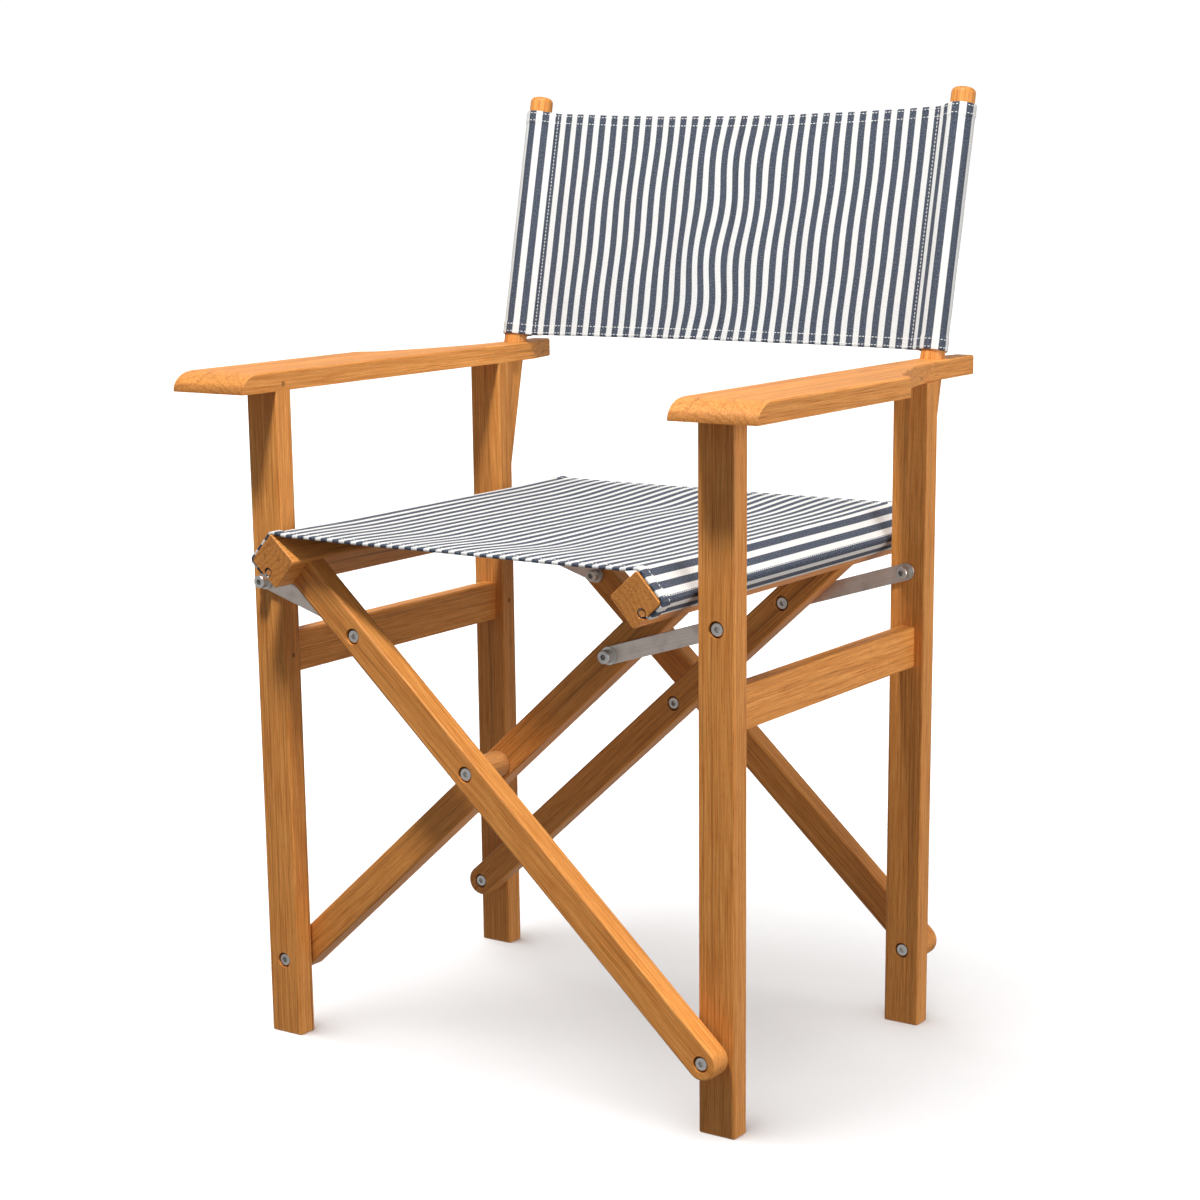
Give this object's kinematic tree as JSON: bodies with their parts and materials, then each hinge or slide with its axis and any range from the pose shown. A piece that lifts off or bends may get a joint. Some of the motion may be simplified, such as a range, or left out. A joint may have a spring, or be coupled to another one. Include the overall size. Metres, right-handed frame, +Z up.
{
  "type": "folding chair",
  "caption": "Folding director's chair: teak side frames with flat arms, crossed legs under a striped canvas seat, striped canvas back on leaning posts.",
  "frame": {"origin": "on the floor, under the middle of the chair's outline", "axes": "+Z up, -Y towards the front of the chair, +X towards the side whose front leg has a cross bar in front of it"},
  "size_m": [0.62, 0.5053, 0.8855],
  "materials": {
    "teak": "oiled, satin",
    "dowel_wood": "satin",
    "link_steel": "brushed",
    "bolt_steel": "satin",
    "insert_brass": "plain",
    "seat_cloth": "woven, striped off-white and navy grey",
    "back_cloth": "woven, striped off-white and navy grey"
  },
  "bodies": {
    "left_frame": {"front_leg_left": "teak", "rear_leg_left": "teak", "stretcher_left": "teak", "armrest_left": "teak", "back_post_left": "teak", "tenon_pins_left": "dowel_wood", "post_screws_left": "bolt_steel", "leg_bolts_left": "bolt_steel", "leg_nuts_left": "bolt_steel", "leg_washers_left": "bolt_steel", "back_canvas": "back_cloth"},
    "inner_x": {"inner_front_bar": "teak", "inner_rear_bar": "teak", "seat_rail_right": "teak", "locking_rod_right": "dowel_wood", "link_bolt_inner": "bolt_steel", "link_insert_inner": "insert_brass"},
    "outer_x": {"outer_front_bar": "teak", "outer_rear_bar": "teak", "seat_rail_left": "teak", "locking_rod_left": "dowel_wood", "link_bolt_outer": "bolt_steel", "link_insert_outer": "insert_brass", "crossing_bolts": "bolt_steel", "crossing_nuts": "bolt_steel", "crossing_spacers": "dowel_wood", "seat_canvas": "seat_cloth"},
    "right_frame": {"front_leg_right": "teak", "rear_leg_right": "teak", "stretcher_right": "teak", "armrest_right": "teak", "back_post_right": "teak", "tenon_pins_right": "dowel_wood", "post_screws_right": "bolt_steel", "leg_bolts_right": "bolt_steel", "leg_nuts_right": "bolt_steel", "leg_washers_right": "bolt_steel"},
    "front_left_link": {"link_front_left": "link_steel", "link_pin_front_left": "bolt_steel"},
    "front_right_link": {"link_front_right": "link_steel", "link_pin_front_right": "bolt_steel"},
    "rear_left_link": {"link_rear_left": "link_steel", "link_pin_rear_left": "bolt_steel"},
    "rear_right_link": {"link_rear_right": "link_steel", "link_pin_rear_right": "bolt_steel"}
  },
  "joints": [
    {"name": "fold", "type": "hinge", "parent": "left_frame", "child": "inner_x", "pos_m": [-0.244, -0.0235, 0.0735], "axis": [0, -1, 0], "range_deg": [0, 32.76], "deforming": ["seat_canvas", "back_canvas"]},
    {"name": "scissor", "type": "hinge", "parent": "inner_x", "child": "outer_x", "pos_m": [0, -0.0235, 0.295], "axis": [0, 1, 0], "range_deg": [0, 71.53]},
    {"name": "right_frame_swing", "type": "hinge", "parent": "outer_x", "child": "right_frame", "pos_m": [0.244, -0.0235, 0.0735], "axis": [0, -1, 0], "range_deg": [0, 32.76]},
    {"name": "front_left_link_swing", "type": "hinge", "parent": "left_frame", "child": "front_left_link", "pos_m": [-0.244, -0.1945, 0.4445], "axis": [0, -1, 0], "range_deg": [0, 79.35]},
    {"name": "front_right_link_swing", "type": "hinge", "parent": "right_frame", "child": "front_right_link", "pos_m": [0.244, -0.1945, 0.4445], "axis": [0, 1, 0], "range_deg": [0, 79.35]},
    {"name": "rear_left_link_swing", "type": "hinge", "parent": "left_frame", "child": "rear_left_link", "pos_m": [-0.244, 0.1475, 0.4445], "axis": [0, -1, 0], "range_deg": [0, 79.35]},
    {"name": "rear_right_link_swing", "type": "hinge", "parent": "right_frame", "child": "rear_right_link", "pos_m": [0.244, 0.1475, 0.4445], "axis": [0, 1, 0], "range_deg": [0, 79.35]}
  ],
  "couplings": [
    {"joint": "scissor", "follows": "fold", "ratio": 2.1834},
    {"joint": "right_frame_swing", "follows": "fold", "ratio": 1},
    {"joint": "front_left_link_swing", "follows": "fold", "ratio": 2.4219},
    {"joint": "front_right_link_swing", "follows": "fold", "ratio": 2.4219},
    {"joint": "rear_left_link_swing", "follows": "fold", "ratio": 2.4219},
    {"joint": "rear_right_link_swing", "follows": "fold", "ratio": 2.4219}
  ]
}
